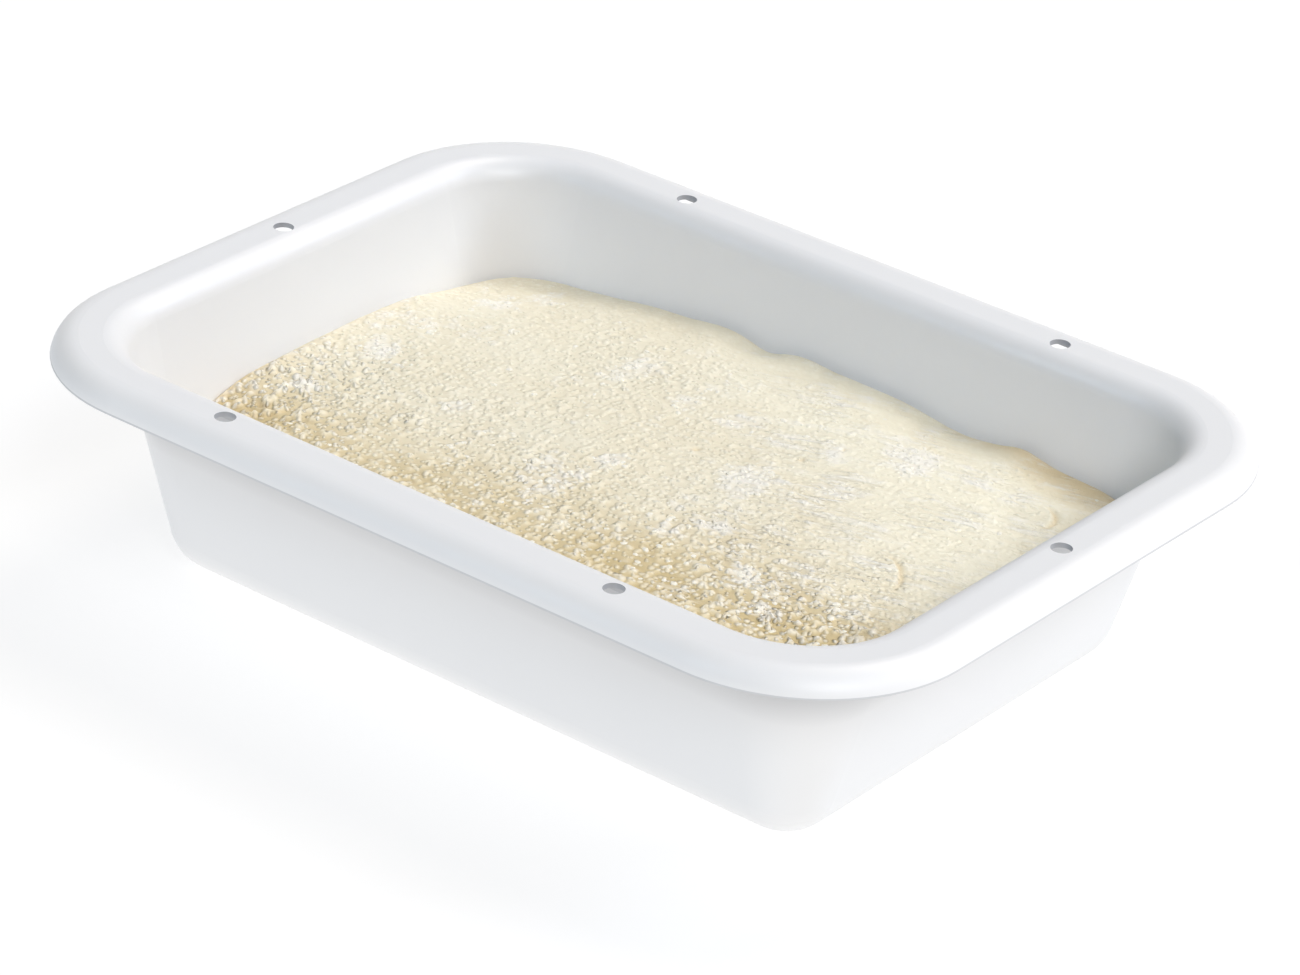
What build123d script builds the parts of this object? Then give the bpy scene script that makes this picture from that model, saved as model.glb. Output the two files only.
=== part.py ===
from build123d import *
import os
from math import asin, cos, degrees, radians, sin, tan

# Driving dimensions in millimetres and degrees.
# Tub: a one-piece plastic moulding with drafted walls and a rolled rim that is open underneath.
length = 600.0
width = 455.0
height = 145.0
wall = 3.0
draft = 14.5
floor_flat_corner_radius = 1.8
base_edge_radius = 30.0
rim_inner_radius = 15.0
rim_flat_width = 13.5
rim_outer_radius = 16.0
rim_lip_depth = 13.0

# Six plain holes through the flat of the rim.
hole_diameter = 12.0
hole_inset = 25.0
side_hole_spacing = 270.0

# Dough: one soft mass that fills the tub from wall to wall under a low dome.
dough_crown = 94.0
dough_dome_radius = 3000.0
dough_top_edge_radius = 9.0
dough_side_gap = 0.4
dough_corner_slack = 12.0
dough_base_slack = 8.0

# The walls lean out by the draft, so the outside face runs away from the corner axis as it climbs.
lean = tan(radians(draft))
lean_sin = sin(radians(draft))
lean_cos = cos(radians(draft))


def edge_reach(radius):
    """How far the rounding between floor and wall reaches in from the sharp edge, along the floor."""
    return radius * (1 - lean_sin) / lean_cos


def outer_wall_at(z):
    """Distance of the wall's outside face from the corner axis, at a height above the base."""
    return floor_flat_corner_radius + edge_reach(base_edge_radius) + z * lean


# Rim: an inner rounding, a flat top and an outer roll that ends in a level lip.
def lip_angle(radius):
    """Angle in degrees at which an arc of the outer roll meets the level lip."""
    return degrees(asin((rim_outer_radius - rim_lip_depth) / radius))


under_rim_radius = rim_inner_radius - wall
rim_inner_z = height - rim_inner_radius
rim_inner_x = outer_wall_at(rim_inner_z + under_rim_radius * lean_sin) + under_rim_radius * lean_cos
rim_outer_x = rim_inner_x + rim_flat_width
rim_outer_z = height - rim_outer_radius
widest_angle = max(lip_angle(rim_outer_radius), 0)
corner_radius = rim_outer_x + rim_outer_radius * cos(radians(widest_angle))

# Straight runs of the four sides, between the corner axes.
run_x = length - 2 * corner_radius
run_y = width - 2 * corner_radius


def arc_point(x, z, radius, angle):
    """Point of an arc about (x, z), with the angle in degrees from the outward direction."""
    return (x + radius * cos(radians(angle)), z + radius * sin(radians(angle)))


def arc(x, z, radius, start, end):
    """Arc about (x, z) in the section plane, between two angles in degrees."""
    middle = (start + end) / 2
    return ThreePointArc(*(arc_point(x, z, radius, angle) for angle in (start, middle, end)))


def section_face(edges):
    """Face of a section that is drawn in the XZ plane, with X counted from the corner axis."""
    return Plane.XZ * make_face(edges)


def tub_section():
    """Section through one wall of the tub, from the corner axis out to the lip of the rim."""
    roll_inside = rim_outer_radius - wall
    lip_outer = arc_point(rim_outer_x, rim_outer_z, rim_outer_radius, lip_angle(rim_outer_radius))
    lip_inner = arc_point(rim_outer_x, rim_outer_z, roll_inside, lip_angle(roll_inside))
    wall_turn = 180 - draft
    inside_top = arc_point(rim_inner_x, rim_inner_z, rim_inner_radius, wall_turn)
    outside_top = arc_point(rim_inner_x, rim_inner_z, under_rim_radius, wall_turn)
    base_x = floor_flat_corner_radius
    inner_edge_radius = base_edge_radius - wall
    inside_foot = arc_point(base_x, base_edge_radius, inner_edge_radius, -draft)
    outside_foot = arc_point(base_x, base_edge_radius, base_edge_radius, -draft)
    return section_face(
        [
            arc(rim_outer_x, rim_outer_z, rim_outer_radius, lip_angle(rim_outer_radius), 90),
            Line((rim_outer_x, height), (rim_inner_x, height)),
            arc(rim_inner_x, rim_inner_z, rim_inner_radius, 90, wall_turn),
            Line(inside_top, inside_foot),
            arc(base_x, base_edge_radius, inner_edge_radius, -draft, -90),
            Line((base_x, wall), (0, wall)),
            Line((0, wall), (0, 0)),
            Line((0, 0), (base_x, 0)),
            arc(base_x, base_edge_radius, base_edge_radius, -90, -draft),
            Line(outside_foot, outside_top),
            arc(rim_inner_x, rim_inner_z, under_rim_radius, wall_turn, 90),
            Line((rim_inner_x, height - wall), (rim_outer_x, height - wall)),
            arc(rim_outer_x, rim_outer_z, roll_inside, 90, lip_angle(roll_inside)),
            Line(lip_inner, lip_outer),
        ]
    )


def around(section, along_x, along_y, middle):
    """Carry a section round the four sides and corners of the plan, and close the middle."""
    end_side = extrude(section, along_y / 2, both=True)
    long_side = Rot(Z=90) * extrude(section, along_x / 2, both=True)
    corner = revolve(section, Axis.Z, 90)
    half = Pos(along_x / 2, 0) * end_side
    half += Pos(0, along_y / 2) * long_side
    half += Pos(along_x / 2, along_y / 2) * corner
    half += Pos(-along_x / 2, along_y / 2) * Rot(Z=90) * corner
    return half + Rot(Z=180) * half + middle


def tub():
    """Floor, walls and rim in one moulding, with the six holes cut through the rim."""
    middle = Box(run_x, run_y, wall, align=(Align.CENTER, Align.CENTER, Align.MIN))
    side_y = width / 2 - hole_inset
    end_x = length / 2 - hole_inset
    centres = [(x, y) for x in (-side_hole_spacing / 2, side_hole_spacing / 2) for y in (-side_y, side_y)]
    centres += [(-end_x, 0), (end_x, 0)]
    drill = Cylinder(hole_diameter / 2, rim_lip_depth, align=(Align.CENTER, Align.CENTER, Align.MAX))
    return around(tub_section(), run_x, run_y, middle) - [Pos(x, y, height) * drill for x, y in centres]


def dough():
    """Dough that rests on the floor, close to the walls, rounder than the tub in the four corners."""
    along_x = run_x - 2 * dough_corner_slack
    along_y = run_y - 2 * dough_corner_slack
    blank_top = wall + dough_crown + dough_top_edge_radius
    inset = (wall + dough_side_gap) / lean_cos - dough_corner_slack
    edge = base_edge_radius - wall + dough_base_slack
    edge_x = outer_wall_at(wall) - inset - edge_reach(edge)
    foot = arc_point(edge_x, wall + edge, edge, -draft)
    shoulder = (outer_wall_at(blank_top) - inset, blank_top)
    section = section_face(
        [
            Line((0, wall), (edge_x, wall)),
            arc(edge_x, wall + edge, edge, -90, -draft),
            Line(foot, shoulder),
            Line(shoulder, (0, blank_top)),
            Line((0, blank_top), (0, wall)),
        ]
    )
    middle = Pos(0, 0, wall) * Box(
        along_x, along_y, blank_top - wall, align=(Align.CENTER, Align.CENTER, Align.MIN)
    )
    dome = Pos(0, 0, wall + dough_crown - dough_dome_radius) * Sphere(dough_dome_radius)
    mass = around(section, along_x, along_y, middle) & dome
    top = mass.faces().sort_by(Axis.Z)[-1]
    return fillet(top.edges(), dough_top_edge_radius)


os.makedirs("parts", exist_ok=True)
for name, shape in {"tub": tub(), "dough": dough()}.items():
    export_step(shape, f"parts/{name}.step")
    print(name, len(shape.solids()), "solid,", round(shape.volume / 1e6, 3), "litres")
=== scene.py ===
import math
import random

import bmesh
import bpy
from mathutils import Matrix, Quaternion, Vector, noise


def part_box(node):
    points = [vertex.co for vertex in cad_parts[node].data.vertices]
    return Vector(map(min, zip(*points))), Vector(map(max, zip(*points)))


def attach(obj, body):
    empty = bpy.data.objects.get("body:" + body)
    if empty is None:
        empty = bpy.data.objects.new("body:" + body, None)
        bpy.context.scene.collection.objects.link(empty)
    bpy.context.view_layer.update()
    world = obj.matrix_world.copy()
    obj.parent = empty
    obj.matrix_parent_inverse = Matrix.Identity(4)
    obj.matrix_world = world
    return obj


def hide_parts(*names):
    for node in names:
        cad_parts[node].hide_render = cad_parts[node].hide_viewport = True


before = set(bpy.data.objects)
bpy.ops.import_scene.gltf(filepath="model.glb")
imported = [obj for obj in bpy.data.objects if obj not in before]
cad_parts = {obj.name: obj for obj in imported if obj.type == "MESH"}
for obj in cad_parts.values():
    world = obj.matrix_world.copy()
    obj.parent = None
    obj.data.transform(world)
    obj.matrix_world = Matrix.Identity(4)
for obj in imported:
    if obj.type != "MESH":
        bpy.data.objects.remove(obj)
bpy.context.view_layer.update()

# Tub: a one-piece moulding in white polyethylene with drafted walls and a rolled rim, kept as its solid is.
# It has the satin skin of the mould. The rim's outer roll is a painted highlight, a little whiter, and the
# hollow under the rim, its trimmed lower edge and the drilled holes are painted shade in grey.
tub_white = (0.845, 0.842, 0.840, 1.0)
tub_shade = (0.820, 0.820, 0.822, 1.0)
# Painted shade: grey for the hollow under the rim, the bores of the holes and the rim's trimmed lower edge.
painted_shade_grey = (0.400, 0.405, 0.420, 1.0)
# Painted highlight: the whiter colour of the rim's outer roll.
rim_highlight_white = (0.905, 0.898, 0.890, 1.0)
tub_roughness = (0.34, 0.46)
mould_mottle_scale = 9.0
mould_mottle_span = (0.3, 0.7)
mould_grain_scale = 900.0
mould_grain_strength = 0.06
mould_grain_depth = 0.0002
hole_radius = 0.006
hole_grey_reach = 1.02 * hole_radius
side_hole = (0.135, 0.2025, 0.0)
end_hole = (0.275, 0.0, 0.0)
rim_corner_radius = 0.1003
rim_roll_radius = 0.016
rim_roll_margin = 0.003
rim_trim_z = 0.1328
rim_trim_band = 0.0004
rim_trim_shade = 0.5
under_slope = (-0.10, -0.30)
under_rim_z = (0.085, 0.130)
straight_up = (0.0, 0.0, 1.0)


def new_material(name):
    """Empty node material with its node tree, Principled shader, link function and Object coordinates."""
    material = bpy.data.materials.new(name)
    material.use_nodes = True
    tree = material.node_tree
    place = tree.nodes.new("ShaderNodeTexCoord").outputs["Object"]
    return material, tree, tree.nodes["Principled BSDF"], tree.links.new, place


def noise_node(tree, vector, scale, detail=2.0, roughness=0.5, distortion=0.0):
    """Noise texture on the given coordinates."""
    node = tree.nodes.new("ShaderNodeTexNoise")
    node.inputs["Scale"].default_value = scale
    node.inputs["Detail"].default_value = detail
    node.inputs["Roughness"].default_value = roughness
    node.inputs["Distortion"].default_value = distortion
    tree.links.new(vector, node.inputs["Vector"])
    return node.outputs["Fac"]


def range_node(tree, value, low, high, to_low=0.0, to_high=1.0):
    """Stretch a value from one range to another, held at its ends."""
    node = tree.nodes.new("ShaderNodeMapRange")
    for name, number in (("From Min", low), ("From Max", high), ("To Min", to_low), ("To Max", to_high)):
        node.inputs[name].default_value = number
    tree.links.new(value, node.inputs["Value"])
    return node.outputs["Result"]


def math_node(tree, operation, first, second):
    """Arithmetic on two values, each a number or a socket."""
    node = tree.nodes.new("ShaderNodeMath")
    node.operation = operation
    for value, socket in ((first, node.inputs[0]), (second, node.inputs[1])):
        if isinstance(value, (int, float)):
            socket.default_value = value
        else:
            tree.links.new(value, socket)
    return node.outputs["Value"]


def mix_colour(tree, share, first, second):
    """Mix two colours, each a tuple or a socket, by a share."""
    node = tree.nodes.new("ShaderNodeMix")
    node.data_type = "RGBA"
    tree.links.new(share, node.inputs["Factor"])
    for colour, socket in ((first, node.inputs["A"]), (second, node.inputs["B"])):
        if isinstance(colour, tuple):
            socket.default_value = colour
        else:
            tree.links.new(colour, socket)
    return node.outputs["Result"]


def bump_node(tree, height, strength, distance, normal=None):
    """Bump a normal by a height."""
    node = tree.nodes.new("ShaderNodeBump")
    node.inputs["Strength"].default_value = strength
    node.inputs["Distance"].default_value = distance
    tree.links.new(height, node.inputs["Height"])
    if normal is not None:
        tree.links.new(normal, node.inputs["Normal"])
    return node.outputs["Normal"]


# Fine even grain that the plastic, the dough and the dry flour share, each at its own scale.
fine_grain = bpy.data.node_groups.new("fine_grain", "ShaderNodeTree")
fine_grain.interface.new_socket("Vector", in_out="INPUT", socket_type="NodeSocketVector")
fine_grain.interface.new_socket("Scale", in_out="INPUT", socket_type="NodeSocketFloat")
fine_grain.interface.new_socket("Grain", in_out="OUTPUT", socket_type="NodeSocketFloat")
given = fine_grain.nodes.new("NodeGroupInput")
texture = fine_grain.nodes.new("ShaderNodeTexNoise")
texture.inputs["Detail"].default_value = 2.0
texture.inputs["Roughness"].default_value = 0.6
result = fine_grain.nodes.new("NodeGroupOutput")
fine_grain.links.new(given.outputs["Vector"], texture.inputs["Vector"])
fine_grain.links.new(given.outputs["Scale"], texture.inputs["Scale"])
fine_grain.links.new(texture.outputs["Fac"], result.inputs["Grain"])


def grain_node(tree, vector, scale):
    """The shared fine grain on the given coordinates."""
    node = tree.nodes.new("ShaderNodeGroup")
    node.node_tree = fine_grain
    node.inputs["Scale"].default_value = scale
    tree.links.new(vector, node.inputs["Vector"])
    return node.outputs["Grain"]


def vector_node(tree, operation, vector, other=(0.0, 0.0, 0.0)):
    """Vector arithmetic with a second vector, a tuple or a socket."""
    node = tree.nodes.new("ShaderNodeVectorMath")
    node.operation = operation
    tree.links.new(vector, node.inputs[0])
    if isinstance(other, tuple):
        node.inputs[1].default_value = other
    else:
        tree.links.new(other, node.inputs[1])
    return node.outputs["Value" if operation in ("DISTANCE", "DOT_PRODUCT", "LENGTH") else "Vector"]


def slope_node(tree):
    """How far a face looks up, from -1 for straight down to 1 for straight up."""
    facing = tree.nodes.new("ShaderNodeTexCoord").outputs["Normal"]
    return vector_node(tree, "DOT_PRODUCT", facing, straight_up)


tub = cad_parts["tub"]
tub_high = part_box("tub")[1]
corner_axis = (tub_high.x - rim_corner_radius, tub_high.y - rim_corner_radius, 0.0)
plastic, tree, shader, link, place = new_material("white_polyethylene")
mottle = noise_node(tree, place, mould_mottle_scale, detail=3.0)
grain = grain_node(tree, place, mould_grain_scale)
height = vector_node(tree, "DOT_PRODUCT", place, straight_up)
# Painted shade under the rim: faces that look down, high on the tub, more of it towards the rim.
faces_down = range_node(tree, slope_node(tree), *under_slope)
under_rim = math_node(tree, "MULTIPLY", faces_down, range_node(tree, height, *under_rim_z))
quarter = vector_node(tree, "MULTIPLY", vector_node(tree, "ABSOLUTE", place), (1.0, 1.0, 0.0))
from_axis = vector_node(tree, "MAXIMUM", vector_node(tree, "SUBTRACT", quarter, corner_axis))
roll_start = rim_corner_radius - rim_roll_radius
roll_end = rim_corner_radius - rim_roll_margin
rolled = range_node(tree, vector_node(tree, "LENGTH", from_axis), roll_start, roll_end)
at_trim = range_node(tree, height, rim_trim_z + rim_trim_band, rim_trim_z)
trimmed = math_node(tree, "MULTIPLY", rolled, at_trim)
to_side_hole = vector_node(tree, "DISTANCE", quarter, side_hole)
to_end_hole = vector_node(tree, "DISTANCE", quarter, end_hole)
to_hole = math_node(tree, "MINIMUM", to_side_hole, to_end_hole)
bores = range_node(tree, to_hole, hole_grey_reach, hole_radius)
# Painted shade: grey under the rim, in the bores of the holes and in a thin band at the trimmed lip.
painted_shade = math_node(tree, "MAXIMUM", under_rim, bores)
painted_shade = math_node(tree, "MAXIMUM", painted_shade, math_node(tree, "MULTIPLY", trimmed, rim_trim_shade))
white = mix_colour(tree, mottle, tub_white, tub_shade)
# Painted highlight: the rim's outer roll is made whiter.
white = mix_colour(tree, rolled, white, rim_highlight_white)
link(mix_colour(tree, painted_shade, white, painted_shade_grey), shader.inputs["Base Color"])
link(range_node(tree, mottle, *mould_mottle_span, *tub_roughness), shader.inputs["Roughness"])
link(bump_node(tree, grain, mould_grain_strength, mould_grain_depth), shader.inputs["Normal"])
tub.data.materials.clear()
tub.data.materials.append(plastic)

# Dough: a batch of soft wheat dough that has relaxed until it fills the tub from wall to wall.
# It lies loose on the floor under a low dome. Its skin is dusted with flour, grainy and tan towards
# the front, the tan partly painted shade, and smoother towards the back right, where it was drawn out
# in faint streaks.
dough_low, dough_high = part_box("dough")
half_x = dough_high.x
half_y = dough_high.y
crown_z = dough_high.z - 0.0005
dough_columns = 336
dough_rows = 238
plan_corner = 0.052
edge_radius = 0.005

# Inner faces of the tub's walls, drawn on down to the base, and how they lean out as they climb.
wall_foot_x = 0.2216
wall_foot_y = 0.1491
wall_lean = 0.2586
wall_gap = 0.0004


def smooth_step(value, low, high):
    """Rise softly from 0 at low to 1 at high."""
    share = min(max((value - low) / (high - low), 0.0), 1.0)
    return share * share * (3 - 2 * share)


def ripples(x, y, waves):
    """Smooth noise in waves that are given as height, wavelength and layer."""
    return sum(height * noise.noise((x / length, y / length, layer)) for height, length, layer in waves)


def dough_plan(u, v):
    """Point of the rounded plan for a point of the square from -1 to 1."""
    x, y = abs(u) * half_x, abs(v) * half_y
    across_x = max(x - half_x + plan_corner, 0.0) / plan_corner
    across_y = max(y - half_y + plan_corner, 0.0) / plan_corner
    x += plan_corner * across_x * (math.sqrt(1 - across_y**2 / 2) - 1)
    y += plan_corner * across_y * (math.sqrt(1 - across_x**2 / 2) - 1)
    return math.copysign(x, u), math.copysign(y, v)


# The front of the skin is tan, partly its own colour and partly painted shade.
# The tan reaches further back towards both ends.
tan_span = (0.04, 0.15)
tan_right_start = -0.05
tan_right_lean = 0.18
tan_left_start = -0.12
tan_left_lean = 0.25
tan_waves = ((0.02, 0.060, 3.7),)


def front_darkening(x, y):
    """How tan the skin is painted towards the front, partly as painted shade, from 0 to 1."""
    sideways = tan_right_lean * max(x - tan_right_start, 0.0)
    sideways += tan_left_lean * max(tan_left_start - x, 0.0)
    return smooth_step(sideways - y + ripples(x, y, tan_waves), *tan_span)


# Patches of loose flour as centre x, centre y and reach. A strip of it lies along the left wall as well.
flour_patches = (
    (-0.188, 0.140, 0.024),
    (-0.196, 0.104, 0.026),
    (-0.192, 0.055, 0.032),
    (-0.200, 0.005, 0.022),
    (-0.205, -0.060, 0.020),
    (-0.072, 0.085, 0.032),
    (-0.028, 0.072, 0.030),
    (0.008, 0.070, 0.018),
    (0.050, 0.012, 0.028),
    (0.104, 0.108, 0.032),
    (0.145, 0.116, 0.016),
    (0.070, 0.080, 0.018),
    (0.105, 0.052, 0.016),
    (-0.118, -0.025, 0.012),
    (-0.012, -0.020, 0.018),
    (-0.022, -0.050, 0.030),
    (0.080, -0.036, 0.020),
    (0.120, -0.062, 0.017),
    (0.056, -0.060, 0.016),
    (0.149, -0.088, 0.013),
)
flour_cover = 0.9
flour_strip_cover = 0.5
flour_strip_width = 0.04
flour_waves = ((0.55, 0.022, 7.7), (0.45, 0.009, 8.8))


def flour_on(x, y):
    """How much loose flour lies here, from 0 to 1."""
    cover = flour_strip_cover * (1 - smooth_step(x + half_x, 0.0, flour_strip_width))
    for patch_x, patch_y, reach in flour_patches:
        cover = max(cover, 1 - math.hypot(x - patch_x, y - patch_y) / reach)
    return smooth_step(flour_cover * cover + ripples(x, y, flour_waves), 0.0, 1.0)


# The grain is coarser at the front, most of all in two spots, and finer towards the back right.
# The spots are given as centre x, centre y, reach, narrowness along y and rise.
back_grit = 0.51
front_grit = 0.44
front_grit_span = (-0.03, 0.10)
grainy_spots = (
    (-0.205, -0.065, 0.050, 0.5, 0.80),
    (0.195, -0.085, 0.060, 1.0, 0.50),
)
smooth_share = 0.40
smooth_lean = 1.3
smooth_span = (0.05, 0.17)
flour_grit = 0.14
grit_waves = ((0.3, 0.040, 6.6), (0.4, 0.017, 6.9))


def gritty(x, y, flour):
    """How grainy the skin is, about 1 at the front and less towards the back."""
    level = back_grit + front_grit * smooth_step(-y, *front_grit_span)
    for centre_x, centre_y, reach, narrow, rise in grainy_spots:
        level += rise * math.exp(-((x - centre_x) ** 2 + narrow * (y - centre_y) ** 2) / reach**2)
    level *= 1 - smooth_share * smooth_step(x + smooth_lean * y, *smooth_span)
    return level * (1 + ripples(x, y, grit_waves)) + flour_grit * flour


granule_spacing = 0.0058
granule_least = 0.35
granule_spread = 0.4
granule_dome = 1.5


def granule(x, y):
    """Height share of the round granules in the skin, 1 on top of each and 0 between them."""
    distances, centres = noise.voronoi(Vector((x, y, 0.0)) / granule_spacing)
    reach = granule_least + granule_spread * abs(noise.cell(1000 * centres[0]))
    return max(1 - (distances[0] / reach) ** 2, 0.0) ** granule_dome


# Curved creases as centre x, centre y, radius, start and sweep in degrees. The smallest are pits.
creases = (
    (0.183, 0.108, 0.017, -30, 115),
    (0.150, -0.022, 0.034, 0, 80),
    (-0.206, -0.086, 0.006, -170, 210),
    (-0.206, -0.086, 0.012, -160, 190),
    (-0.206, -0.086, 0.018, -150, 170),
    (0.013, 0.028, 0.0008, 0, 360),
    (0.071, 0.090, 0.0008, 0, 360),
    (0.062, 0.062, 0.0010, 0, 360),
)
crease_width = 0.0014
crease_reach = 5
crease_lip = 0.6
crease_lip_off = 1.9


def crease_depth(x, y):
    """Depth share of the creases, up to about 1, with a low lip beside each of them."""
    depth = 0.0
    for centre_x, centre_y, radius, start, sweep in creases:
        off = (math.hypot(x - centre_x, y - centre_y) - radius) / crease_width
        angle = (math.degrees(math.atan2(y - centre_y, x - centre_x)) - start) % 360
        if abs(off) < crease_reach and angle < sweep:
            fade = min(3 * min(angle, sweep - angle) / sweep, 1.0)
            depth += fade * (math.exp(-off * off) - crease_lip * math.exp(-((off + crease_lip_off) ** 2)))
    return depth


# Low dome of the top, which sinks in all corners but the back right one.
dome_radius_x = 3.45
dome_radius_y = 4.6
corner_drop = 0.008
corner_drop_span = (0.35, 0.8)
full_corner_share = 0.85
full_corner_span = (0.22, 0.30)
long_waves = ((0.0009, 0.085, 1.3), (0.0004, 0.030, 2.3))
# Swells and dips of the top as centre x, centre y, reach and rise.
swells = (
    (-0.100, 0.165, 0.020, -0.0012),
    (-0.075, 0.165, 0.018, 0.0016),
    (-0.043, 0.165, 0.013, -0.0038),
    (-0.015, 0.165, 0.015, 0.0018),
    (0.096, 0.168, 0.030, -0.0050),
    (0.141, 0.165, 0.014, 0.0034),
    (0.030, -0.080, 0.070, 0.0012),
    (-0.236, -0.112, 0.035, -0.0050),
    (-0.236, 0.015, 0.060, 0.0015),
)
# Streaks of the right half, as two sets of height, stretch, wavelength and layer.
streak_turn = math.radians(22)
streak_lean = 0.4
streak_span = (-0.02, 0.10)
streak_flour = 0.35
streak_sets = ((1.0, 7, 0.009, 4.2), (0.6, 5, 0.005, 5.2))
# Relief of the skin, in shares of its height, which fades out at the edge.
relief_height = 0.0011
relief_margin = 0.010
granule_rise = 1.7
granule_sink = 0.52
granule_waves = ((0.4, 0.012, 9.6),)
streak_rise = 0.60
crease_fall = 1.6


def dough_top(x, y, inset):
    """Height of the top, and the shares of grit, flour, relief and crease there."""
    flour = flour_on(x, y)
    grit = gritty(x, y, flour)
    crease = crease_depth(x, y)
    z = crown_z - x * x / (2 * dome_radius_x) - y * y / (2 * dome_radius_y)
    sunk_corner = smooth_step(abs(x * y) / (half_x * half_y), *corner_drop_span)
    z -= corner_drop * sunk_corner * (1 - full_corner_share * smooth_step(x + y, *full_corner_span))
    for centre_x, centre_y, reach, rise in swells:
        z += rise * math.exp(-((x - centre_x) ** 2 + (y - centre_y) ** 2) / (reach * reach))
    z += ripples(x, y, long_waves)
    along = x * math.cos(streak_turn) + y * math.sin(streak_turn)
    across = y * math.cos(streak_turn) - x * math.sin(streak_turn)
    streak = sum(
        ripples(along / stretch, across, ((height, length, layer),))
        for height, stretch, length, layer in streak_sets
    )
    drawn = smooth_step(x + streak_lean * y, *streak_span) * streak
    flour = min(max(flour + streak_flour * drawn, 0.0), 1.0)
    relief = grit * (granule_rise * granule(x, y) - granule_sink + ripples(x, y, granule_waves))
    relief += streak_rise * drawn - crease_fall * crease
    z += relief_height * relief * smooth_step(inset, 0.0, relief_margin)
    rounding = max(1 - inset / edge_radius, 0.0)
    z -= edge_radius * (1 - math.sqrt(max(1 - rounding * rounding, 0.0)))
    return z, grit, flour, relief, crease


# Bare tan rind along the edge: wide in the back right corner, a hint at the back, narrow at the front left.
rind_width = 0.008
rind_corner_width = 0.034
rind_corner_span = (0.23, 0.32)
rind_back = 0.12
rind_back_span = (0.10, 0.15)
rind_front_left = 0.8
rind_front_left_span = (0.28, 0.33)
rind_waves = ((0.006, 0.030, 9.9),)
# Creases are tan as well, partly painted shade in their hollows.
crease_tan_and_shade = 0.65


def bare_rind(x, y, inset):
    """How bare and tan the skin is along its edge, most of all in the back right corner."""
    corner = smooth_step(x + y, *rind_corner_span)
    back = rind_back * smooth_step(y, *rind_back_span)
    front_left = rind_front_left * smooth_step(-x - y, *rind_front_left_span)
    width = rind_width + rind_corner_width * corner
    return max(corner, back, front_left) * (1 - smooth_step(inset + ripples(x, y, rind_waves), 0.0, width))


dough_mesh = bmesh.new()
bmesh.ops.create_grid(dough_mesh, x_segments=dough_columns, y_segments=dough_rows, size=1.0)
skin_marks = ("grit", "flour", "relief", "rind_and_crease_shade", "front")
layers = {name: dough_mesh.verts.layers.float.new(name) for name in skin_marks}
for vertex in dough_mesh.verts:
    u, v = vertex.co.x, vertex.co.y
    inset = min((1 - abs(u)) * half_x, (1 - abs(v)) * half_y)
    x, y = dough_plan(u, v)
    z, grit, flour, relief, crease = dough_top(x, y, inset)
    reach_x = wall_foot_x + wall_lean * z - wall_gap
    reach_y = wall_foot_y + wall_lean * z - wall_gap
    vertex.co = max(-reach_x, min(x, reach_x)), max(-reach_y, min(y, reach_y)), z
    vertex[layers["grit"]] = grit
    vertex[layers["flour"]] = flour
    vertex[layers["relief"]] = relief
    vertex[layers["rind_and_crease_shade"]] = max(bare_rind(x, y, inset), crease_tan_and_shade * crease)
    vertex[layers["front"]] = front_darkening(x, y)

# Side of the dough in rings down to the floor, as shares of the edge's height and insets from it.
# Its skin was pressed against the wall, so the marks of the top fade out and soft dents are left.
side_rings = (
    (0.97, 0.0007),
    (0.86, 0.0032),
    (0.70, 0.0063),
    (0.54, 0.0095),
    (0.40, 0.0130),
    (0.28, 0.0175),
    (0.18, 0.0225),
    (0.10, 0.0285),
    (0.04, 0.0360),
    (0.0, 0.0460),
)
side_skin = {"grit": 0.15, "flour": 0.1, "relief": 0.1, "rind_and_crease_shade": 0.1, "front": 0.3}
side_fade = 0.6
side_dent = 0.006
side_dent_length = 0.045
side_dent_foot = 4
edge = [e for e in dough_mesh.edges if e.is_boundary]
share_now, inset_now = 1.0, 0.0
for share, inset in side_rings:
    made = bmesh.ops.extrude_edge_only(dough_mesh, edges=edge)["geom"]
    ring = [g for g in made if isinstance(g, bmesh.types.BMVert)]
    squeeze_x = (half_x - inset) / (half_x - inset_now)
    squeeze_y = (half_y - inset) / (half_y - inset_now)
    squeeze = (squeeze_x, squeeze_y, share / share_now)
    bmesh.ops.scale(dough_mesh, vec=squeeze, verts=ring, space=Matrix.Translation((0, 0, -dough_low.z)))
    for vertex in ring:
        for name, level in side_skin.items():
            vertex[layers[name]] += side_fade * (level - vertex[layers[name]])
        hollow = max(noise.noise(vertex.co / side_dent_length), 0.0)
        vertex.co.xy *= 1 - side_dent * hollow * min(side_dent_foot * share, 1.0)
    edge = [g for g in made if isinstance(g, bmesh.types.BMEdge) and g.is_boundary]
    share_now, inset_now = share, inset
bmesh.ops.contextual_create(dough_mesh, geom=edge)
bmesh.ops.recalc_face_normals(dough_mesh, faces=dough_mesh.faces)
for face in dough_mesh.faces:
    face.smooth = True


def finished_object(name, mesh):
    """Object at the origin with the finished mesh."""
    data = bpy.data.meshes.new(name)
    mesh.to_mesh(data)
    mesh.free()
    thing = bpy.data.objects.new(name, data)
    bpy.context.scene.collection.objects.link(thing)
    return thing


dough = finished_object("dough_batch", dough_mesh)
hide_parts("dough")
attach(dough, "dough")

# Skin of the dough: cream that is painted paler to the back and right as painted light, tan between the
# granules that is partly painted shade, and flour on top of them that is partly painted highlight.
cream = (0.910, 0.842, 0.665, 1.0)
pale_cream = (0.922, 0.868, 0.705, 1.0)
# Painted light: a paler cream for the back and right, where the walls shade the top.
back_painted_light_cream = (0.962, 0.914, 0.745, 1.0)
# Tan of the front, partly the skin's own colour and partly painted shade.
front_tan_and_shade = (0.775, 0.645, 0.405, 1.0)
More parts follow.
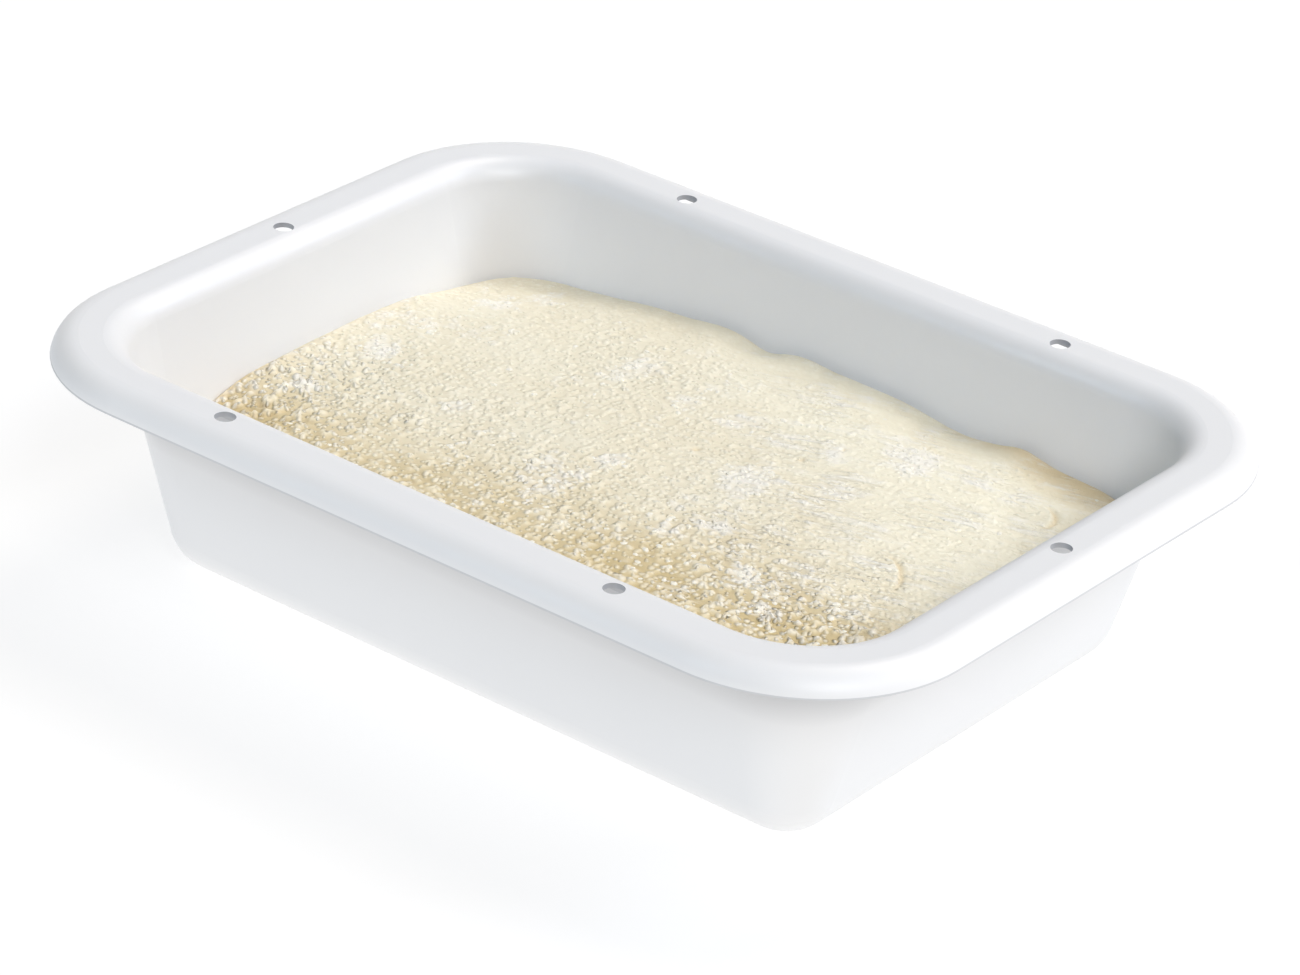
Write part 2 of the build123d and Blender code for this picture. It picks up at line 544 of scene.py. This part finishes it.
# Tan between the granules, partly painted shade.
gap_tan_and_shade = (0.550, 0.420, 0.195, 1.0)
rind_tan = (0.780, 0.600, 0.330, 1.0)
flour_white = (0.948, 0.912, 0.835, 1.0)
dough_roughness = (0.62, 0.95)
dough_gloss = 0.3
upward_slope = (0.1, 0.4)
cloud_scale = 14.0
cloud_span = (0.35, 0.65)
back_lean = 0.6
back_span = (0.07, 0.15)
back_share = 0.8
front_darkening_cloud_span = (0.3, 0.7)
front_darkening_share = (0.9, 0.5)
rind_share = 0.8

# Small granules between those of the mesh, bent out of round, and the flour's own grain.
small_granule_scale = 235.0
small_granule_reach = (0.25, 0.62)
small_granule_share = 1.1
small_granule_depth = 0.00095
granule_share = 0.6
bend_scale = 420.0
bend_reach = 0.0008
# Tan in the low ground between the granules, partly painted shade.
gap_height = (0.50, -0.30)
gap_grit = (0.1, 0.8)
gap_grit_share = (0.4, 1.0)
gap_front_share = (0.22, 0.82)
flour_grain_scale = 900.0
flour_grain_strength = 0.12
flour_grain_depth = 0.0005

# Fine streaks that are broken up along their run, with flour on their ridges and tan in their furrows,
# partly painted highlight and painted shade.
fine_streak_scale = 230.0
fine_streak_stretch = 5.0
fine_streak_span = (-0.03, 0.09)
streak_break_scale = 36.0
streak_break_span = (0.38, 0.62)
streak_break_share = (0.15, 1.0)
ridge_span = (0.42, 0.66)
ridge_depth = 0.0009
furrow_span = (0.46, 0.32)
furrow_share = 0.25

# Dust of flour, from the shares of granule tops, flour grain and streaks, and blotches on the pressed side.
# The flour on the granule tops and streak ridges is partly painted highlight.
dust_and_highlight_on_tops = 0.5
dust_in_grain = 0.35
dust_and_highlight_on_ridges = 1.1
dust_and_highlight_span = (0.45, 1.40)
dust_and_highlight_most = 0.78
side_blotch_scale = 45.0
side_blotch_span = (0.45, 0.70)
side_pit_scale = 120.0
side_pit_depth = 0.0025


def attribute_node(tree, name):
    """Value of the mesh's own attribute."""
    node = tree.nodes.new("ShaderNodeAttribute")
    node.attribute_name = name
    return node.outputs["Fac"]


def granule_node(tree, place):
    """Small round granules of uneven size, 1 on top of each and 0 between them."""
    cells = tree.nodes.new("ShaderNodeTexVoronoi")
    cells.voronoi_dimensions = "2D"
    cells.inputs["Scale"].default_value = small_granule_scale
    tree.links.new(place, cells.inputs["Vector"])
    draw = vector_node(tree, "DOT_PRODUCT", cells.outputs["Color"], (1.0, 0.0, 0.0))
    reach = range_node(tree, draw, 0.0, 1.0, *small_granule_reach)
    share = math_node(tree, "DIVIDE", cells.outputs["Distance"], reach)
    dome = math_node(tree, "SUBTRACT", 1.0, math_node(tree, "POWER", share, 2.0))
    return math_node(tree, "POWER", math_node(tree, "MAXIMUM", dome, 0.0), granule_dome)


def bent_place_node(tree, place):
    """Coordinates that wander a little, so that what is drawn on them is out of round."""
    wander = tree.nodes.new("ShaderNodeTexNoise")
    wander.inputs["Scale"].default_value = bend_scale
    tree.links.new(place, wander.inputs["Vector"])
    bend = vector_node(tree, "SUBTRACT", wander.outputs["Color"], (0.5, 0.5, 0.5))
    return vector_node(tree, "ADD", place, vector_node(tree, "MULTIPLY", bend, (bend_reach,) * 3))


def streak_node(tree, place):
    """Noise drawn out along the skin, and how strong it is, which is most in parts of the right half."""
    node = tree.nodes.new("ShaderNodeMapping")
    node.vector_type = "TEXTURE"
    node.inputs["Rotation"].default_value = (0.0, 0.0, streak_turn)
    node.inputs["Scale"].default_value = (fine_streak_stretch, 1.0, 1.0)
    tree.links.new(place, node.inputs["Vector"])
    to_right = vector_node(tree, "DOT_PRODUCT", place, (1.0, streak_lean, 0.0))
    right_half = range_node(tree, to_right, *fine_streak_span)
    breaks = noise_node(tree, place, streak_break_scale)
    broken = range_node(tree, breaks, *streak_break_span, *streak_break_share)
    lines = noise_node(tree, node.outputs["Vector"], fine_streak_scale, 3.0, 0.6, 0.8)
    return lines, math_node(tree, "MULTIPLY", right_half, broken)


skin, tree, shader, link, place = new_material("wheat_dough")
faces_up = range_node(tree, slope_node(tree), *upward_slope)
pressed = math_node(tree, "SUBTRACT", 1.0, faces_up)
grit = math_node(tree, "MULTIPLY", attribute_node(tree, "grit"), faces_up)
flour = attribute_node(tree, "flour")
relief = attribute_node(tree, "relief")
rind_and_crease_shade = attribute_node(tree, "rind_and_crease_shade")
front = attribute_node(tree, "front")
clouds = noise_node(tree, place, cloud_scale, detail=3.0)
fine = grain_node(tree, place, flour_grain_scale)
small_granules = math_node(tree, "MULTIPLY", granule_node(tree, bent_place_node(tree, place)), grit)
small_tops = math_node(tree, "MULTIPLY", small_granules, small_granule_share)
tops = math_node(tree, "ADD", math_node(tree, "MULTIPLY", relief, granule_share), small_tops)
lines, lines_share = streak_node(tree, place)
# Flour on the streak ridges and tan in their furrows, partly painted highlight and painted shade.
ridges = math_node(tree, "MULTIPLY", range_node(tree, lines, *ridge_span), lines_share)
furrows = math_node(tree, "MULTIPLY", range_node(tree, lines, *furrow_span, 0.0, furrow_share), lines_share)
# Painted light: the cream is made paler towards the back and right, against the shade of the walls.
to_back = vector_node(tree, "DOT_PRODUCT", place, (back_lean, 1.0, 0.0))
near_back = range_node(tree, to_back, *back_span, 0.0, back_share)
front_darkening_patches = range_node(tree, clouds, *front_darkening_cloud_span, *front_darkening_share)
gaps = range_node(tree, tops, *gap_height)
gaps = math_node(tree, "MULTIPLY", gaps, range_node(tree, grit, *gap_grit, *gap_grit_share))
gaps = math_node(tree, "MULTIPLY", gaps, range_node(tree, front, 0.0, 1.0, *gap_front_share))
blotches = range_node(tree, noise_node(tree, place, side_blotch_scale, 4.0, 0.6), *side_blotch_span)
dust_and_highlight = math_node(tree, "ADD", flour, math_node(tree, "MULTIPLY", tops, dust_and_highlight_on_tops))
dust_and_highlight = math_node(tree, "ADD", dust_and_highlight, math_node(tree, "MULTIPLY", fine, dust_in_grain))
dust_and_highlight = math_node(tree, "ADD", dust_and_highlight, math_node(tree, "MULTIPLY", ridges, dust_and_highlight_on_ridges))
dust_and_highlight = math_node(tree, "ADD", dust_and_highlight, math_node(tree, "MULTIPLY", blotches, pressed))
body = mix_colour(tree, range_node(tree, clouds, *cloud_span), cream, pale_cream)
body = mix_colour(tree, near_back, body, back_painted_light_cream)
# Partly painted shade: tan in the furrows of the streaks.
body = mix_colour(tree, furrows, body, front_tan_and_shade)
# Partly painted shade: the front is mixed towards tan.
body = mix_colour(tree, math_node(tree, "MULTIPLY", front, front_darkening_patches), body, front_tan_and_shade)
# Partly painted shade: tan between the granules.
body = mix_colour(tree, gaps, body, gap_tan_and_shade)
# Tan rind along the edge, and tan in the creases that is partly painted shade.
body = mix_colour(tree, math_node(tree, "MULTIPLY", rind_and_crease_shade, rind_share), body, rind_tan)
body = mix_colour(tree, range_node(tree, dust_and_highlight, *dust_and_highlight_span, 0.0, dust_and_highlight_most), body, flour_white)
link(body, shader.inputs["Base Color"])
link(range_node(tree, flour, 0.0, 1.0, *dough_roughness), shader.inputs["Roughness"])
pits = math_node(tree, "MULTIPLY", noise_node(tree, place, side_pit_scale, detail=3.0), pressed)
pit_bump = bump_node(tree, pits, 1.0, side_pit_depth)
ridge_bump = bump_node(tree, ridges, 1.0, ridge_depth, pit_bump)
granule_bump = bump_node(tree, small_granules, 1.0, small_granule_depth, ridge_bump)
grain_bump = bump_node(tree, fine, flour_grain_strength, flour_grain_depth, granule_bump)
link(grain_bump, shader.inputs["Normal"])
shader.inputs["Specular IOR Level"].default_value = dough_gloss
dough.data.materials.append(skin)

# Flour lumps: dry flour that balled up into small flat lumps when the batch was dusted.
# They stick to the skin, most of them in the flour patches and towards the front right.
lump_draw = random.Random(11)
lump_count = 420
lump_margin = 0.013
lump_radius = (0.0010, 0.0022)
lump_shape = (1.3, 1.0, 0.5, 1.0)
lump_sink = 0.15
stray_chance = 0.003
patch_chance = 0.55
front_right_chance = 0.05
front_right_span_x = (-0.02, 0.05)
front_right_span_y = (0.03, 0.07)
lump_mesh = bmesh.new()
placed = 0
while placed < lump_count:
    x = lump_draw.uniform(-half_x, half_x)
    y = lump_draw.uniform(-half_y, half_y)
    inset = min(half_x - abs(x), half_y - abs(y))
    beyond_x = max(abs(x) - half_x + plan_corner, 0.0)
    beyond_y = max(abs(y) - half_y + plan_corner, 0.0)
    if beyond_x and beyond_y:
        inset = plan_corner - math.hypot(beyond_x, beyond_y)
    if inset < lump_margin:
        continue
    z, _, flour, _, _ = dough_top(x, y, inset)
    front_right = smooth_step(x, *front_right_span_x) * smooth_step(-y, *front_right_span_y)
    if lump_draw.random() > stray_chance + patch_chance * flour * flour + front_right_chance * front_right:
        continue
    radius = lump_draw.uniform(*lump_radius)
    spot = Matrix.Translation((x, y, z - lump_sink * radius))
    spot = spot @ Matrix.Rotation(lump_draw.uniform(0, math.tau), 4, "Z") @ Matrix.Diagonal(lump_shape)
    bmesh.ops.create_icosphere(lump_mesh, subdivisions=1, radius=radius, matrix=spot)
    placed += 1
lumps_of_flour = finished_object("flour_lumps", lump_mesh)
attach(lumps_of_flour, "dough")

lump_roughness = (0.85, 0.97)
lump_gloss = 0.2
lump_tone_span = (0.35, 0.65)
lump_roughness_span = (0.3, 0.7)
lump_grain_strength = 0.2
lump_grain_depth = 0.0003
dry_flour, tree, shader, link, place = new_material("dry_flour")
fine = grain_node(tree, place, flour_grain_scale)
lump_tone = mix_colour(tree, range_node(tree, fine, *lump_tone_span), pale_cream, flour_white)
link(lump_tone, shader.inputs["Base Color"])
link(range_node(tree, fine, *lump_roughness_span, *lump_roughness), shader.inputs["Roughness"])
link(bump_node(tree, fine, lump_grain_strength, lump_grain_depth), shader.inputs["Normal"])
shader.inputs["Specular IOR Level"].default_value = lump_gloss
lumps_of_flour.data.materials.append(dry_flour)

# Floor: a plain white light table that runs out of the picture on every side.
# It lights the outside of the tub from below, and the camera sees it as white paper with a soft shadow.
floor_reach = 12.0
floor_drop = 0.0004
floor_fill = 1.20
floor_seen_diffuse = 0.27
floor_seen_glow = 0.79
floor_mesh = bmesh.new()
bmesh.ops.create_grid(floor_mesh, x_segments=1, y_segments=1, size=floor_reach)
bmesh.ops.translate(floor_mesh, vec=(0.0, 0.0, -floor_drop), verts=floor_mesh.verts)
floor = finished_object("floor", floor_mesh)


def seen_ray(tree):
    """One for a ray from the camera, a reflection or a refraction."""
    path = tree.nodes.new("ShaderNodeLightPath")
    total = math_node(tree, "MAXIMUM", path.outputs["Is Camera Ray"], path.outputs["Is Glossy Ray"])
    return math_node(tree, "MAXIMUM", total, path.outputs["Is Transmission Ray"])


pale = bpy.data.materials.new("pale_floor")
pale.use_nodes = True
tree = pale.node_tree
tree.nodes.remove(tree.nodes["Principled BSDF"])
fill = tree.nodes.new("ShaderNodeEmission")
fill.inputs["Strength"].default_value = floor_fill
paper = tree.nodes.new("ShaderNodeBsdfDiffuse")
paper.inputs["Color"].default_value = (floor_seen_diffuse,) * 3 + (1.0,)
glow = tree.nodes.new("ShaderNodeEmission")
glow.inputs["Strength"].default_value = floor_seen_glow
both = tree.nodes.new("ShaderNodeAddShader")
tree.links.new(paper.outputs[0], both.inputs[0])
tree.links.new(glow.outputs[0], both.inputs[1])
choice = tree.nodes.new("ShaderNodeMixShader")
tree.links.new(seen_ray(tree), choice.inputs["Fac"])
tree.links.new(fill.outputs[0], choice.inputs[1])
tree.links.new(both.outputs[0], choice.inputs[2])
tree.links.new(choice.outputs[0], tree.nodes["Material Output"].inputs["Surface"])
floor.data.materials.append(pale)

# Light: a dark room with four large soft lamps, the strongest on the right, two behind and a weak cool one
# in front. Its walls give no light, and the camera and reflections see them white.
world = bpy.data.worlds.new("studio")
bpy.context.scene.world = world
world.use_nodes = True
tree = world.node_tree
backdrop = tree.nodes["Background"]
backdrop.inputs["Color"].default_value = (1.0, 1.0, 1.0, 1.0)
tree.links.new(seen_ray(tree), backdrop.inputs["Strength"])
lamp_spread = math.radians(26)


def soft_lamp(name, turn, rise, strength, tint):
    """Far lamp, turned by degrees from the front towards the right and raised by degrees over the floor."""
    lamp = bpy.data.lights.new(name, "SUN")
    lamp.energy = strength
    lamp.angle = lamp_spread
    lamp.color = tint
    thing = bpy.data.objects.new(name, lamp)
    thing.rotation_euler = (math.radians(90 - rise), 0, math.radians(turn))
    bpy.context.scene.collection.objects.link(thing)


soft_lamp("right_lamp", 60, 38, 1.48, (0.99, 0.99, 1.0))
soft_lamp("right_back_lamp", 140, 38, 1.40, (0.78, 0.86, 1.0))
soft_lamp("back_lamp", 180, 58, 1.24, (1.0, 0.90, 0.78))
soft_lamp("front_lamp", -30, 38, 0.72, (0.64, 0.81, 1.0))

# Camera: a long lens that looks down on the front right corner, with a slight roll.
# Its place, lens and turn were fitted to the rim, the holes and the base outline in the photo.
image_width_px = 1300
focal_px = 5243.1
sensor_width_mm = 36.0
view_azimuth = math.radians(36.563)
view_elevation = math.radians(27.654)
view_roll = math.radians(4.111)
eye = Vector((1.5513, -2.0874, 1.4402))
lens = bpy.data.cameras.new("camera")
lens.sensor_width = sensor_width_mm
lens.lens = sensor_width_mm * focal_px / image_width_px
camera = bpy.data.objects.new("camera", lens)
camera.location = eye
away = Vector(
    (
        -math.sin(view_azimuth) * math.cos(view_elevation),
        math.cos(view_azimuth) * math.cos(view_elevation),
        -math.sin(view_elevation),
    )
)
camera.rotation_euler = (away.to_track_quat("-Z", "Y") @ Quaternion((0, 0, 1), view_roll)).to_euler()
bpy.context.scene.collection.objects.link(camera)
bpy.context.scene.camera = camera
bpy.context.scene.view_settings.view_transform = "Standard"
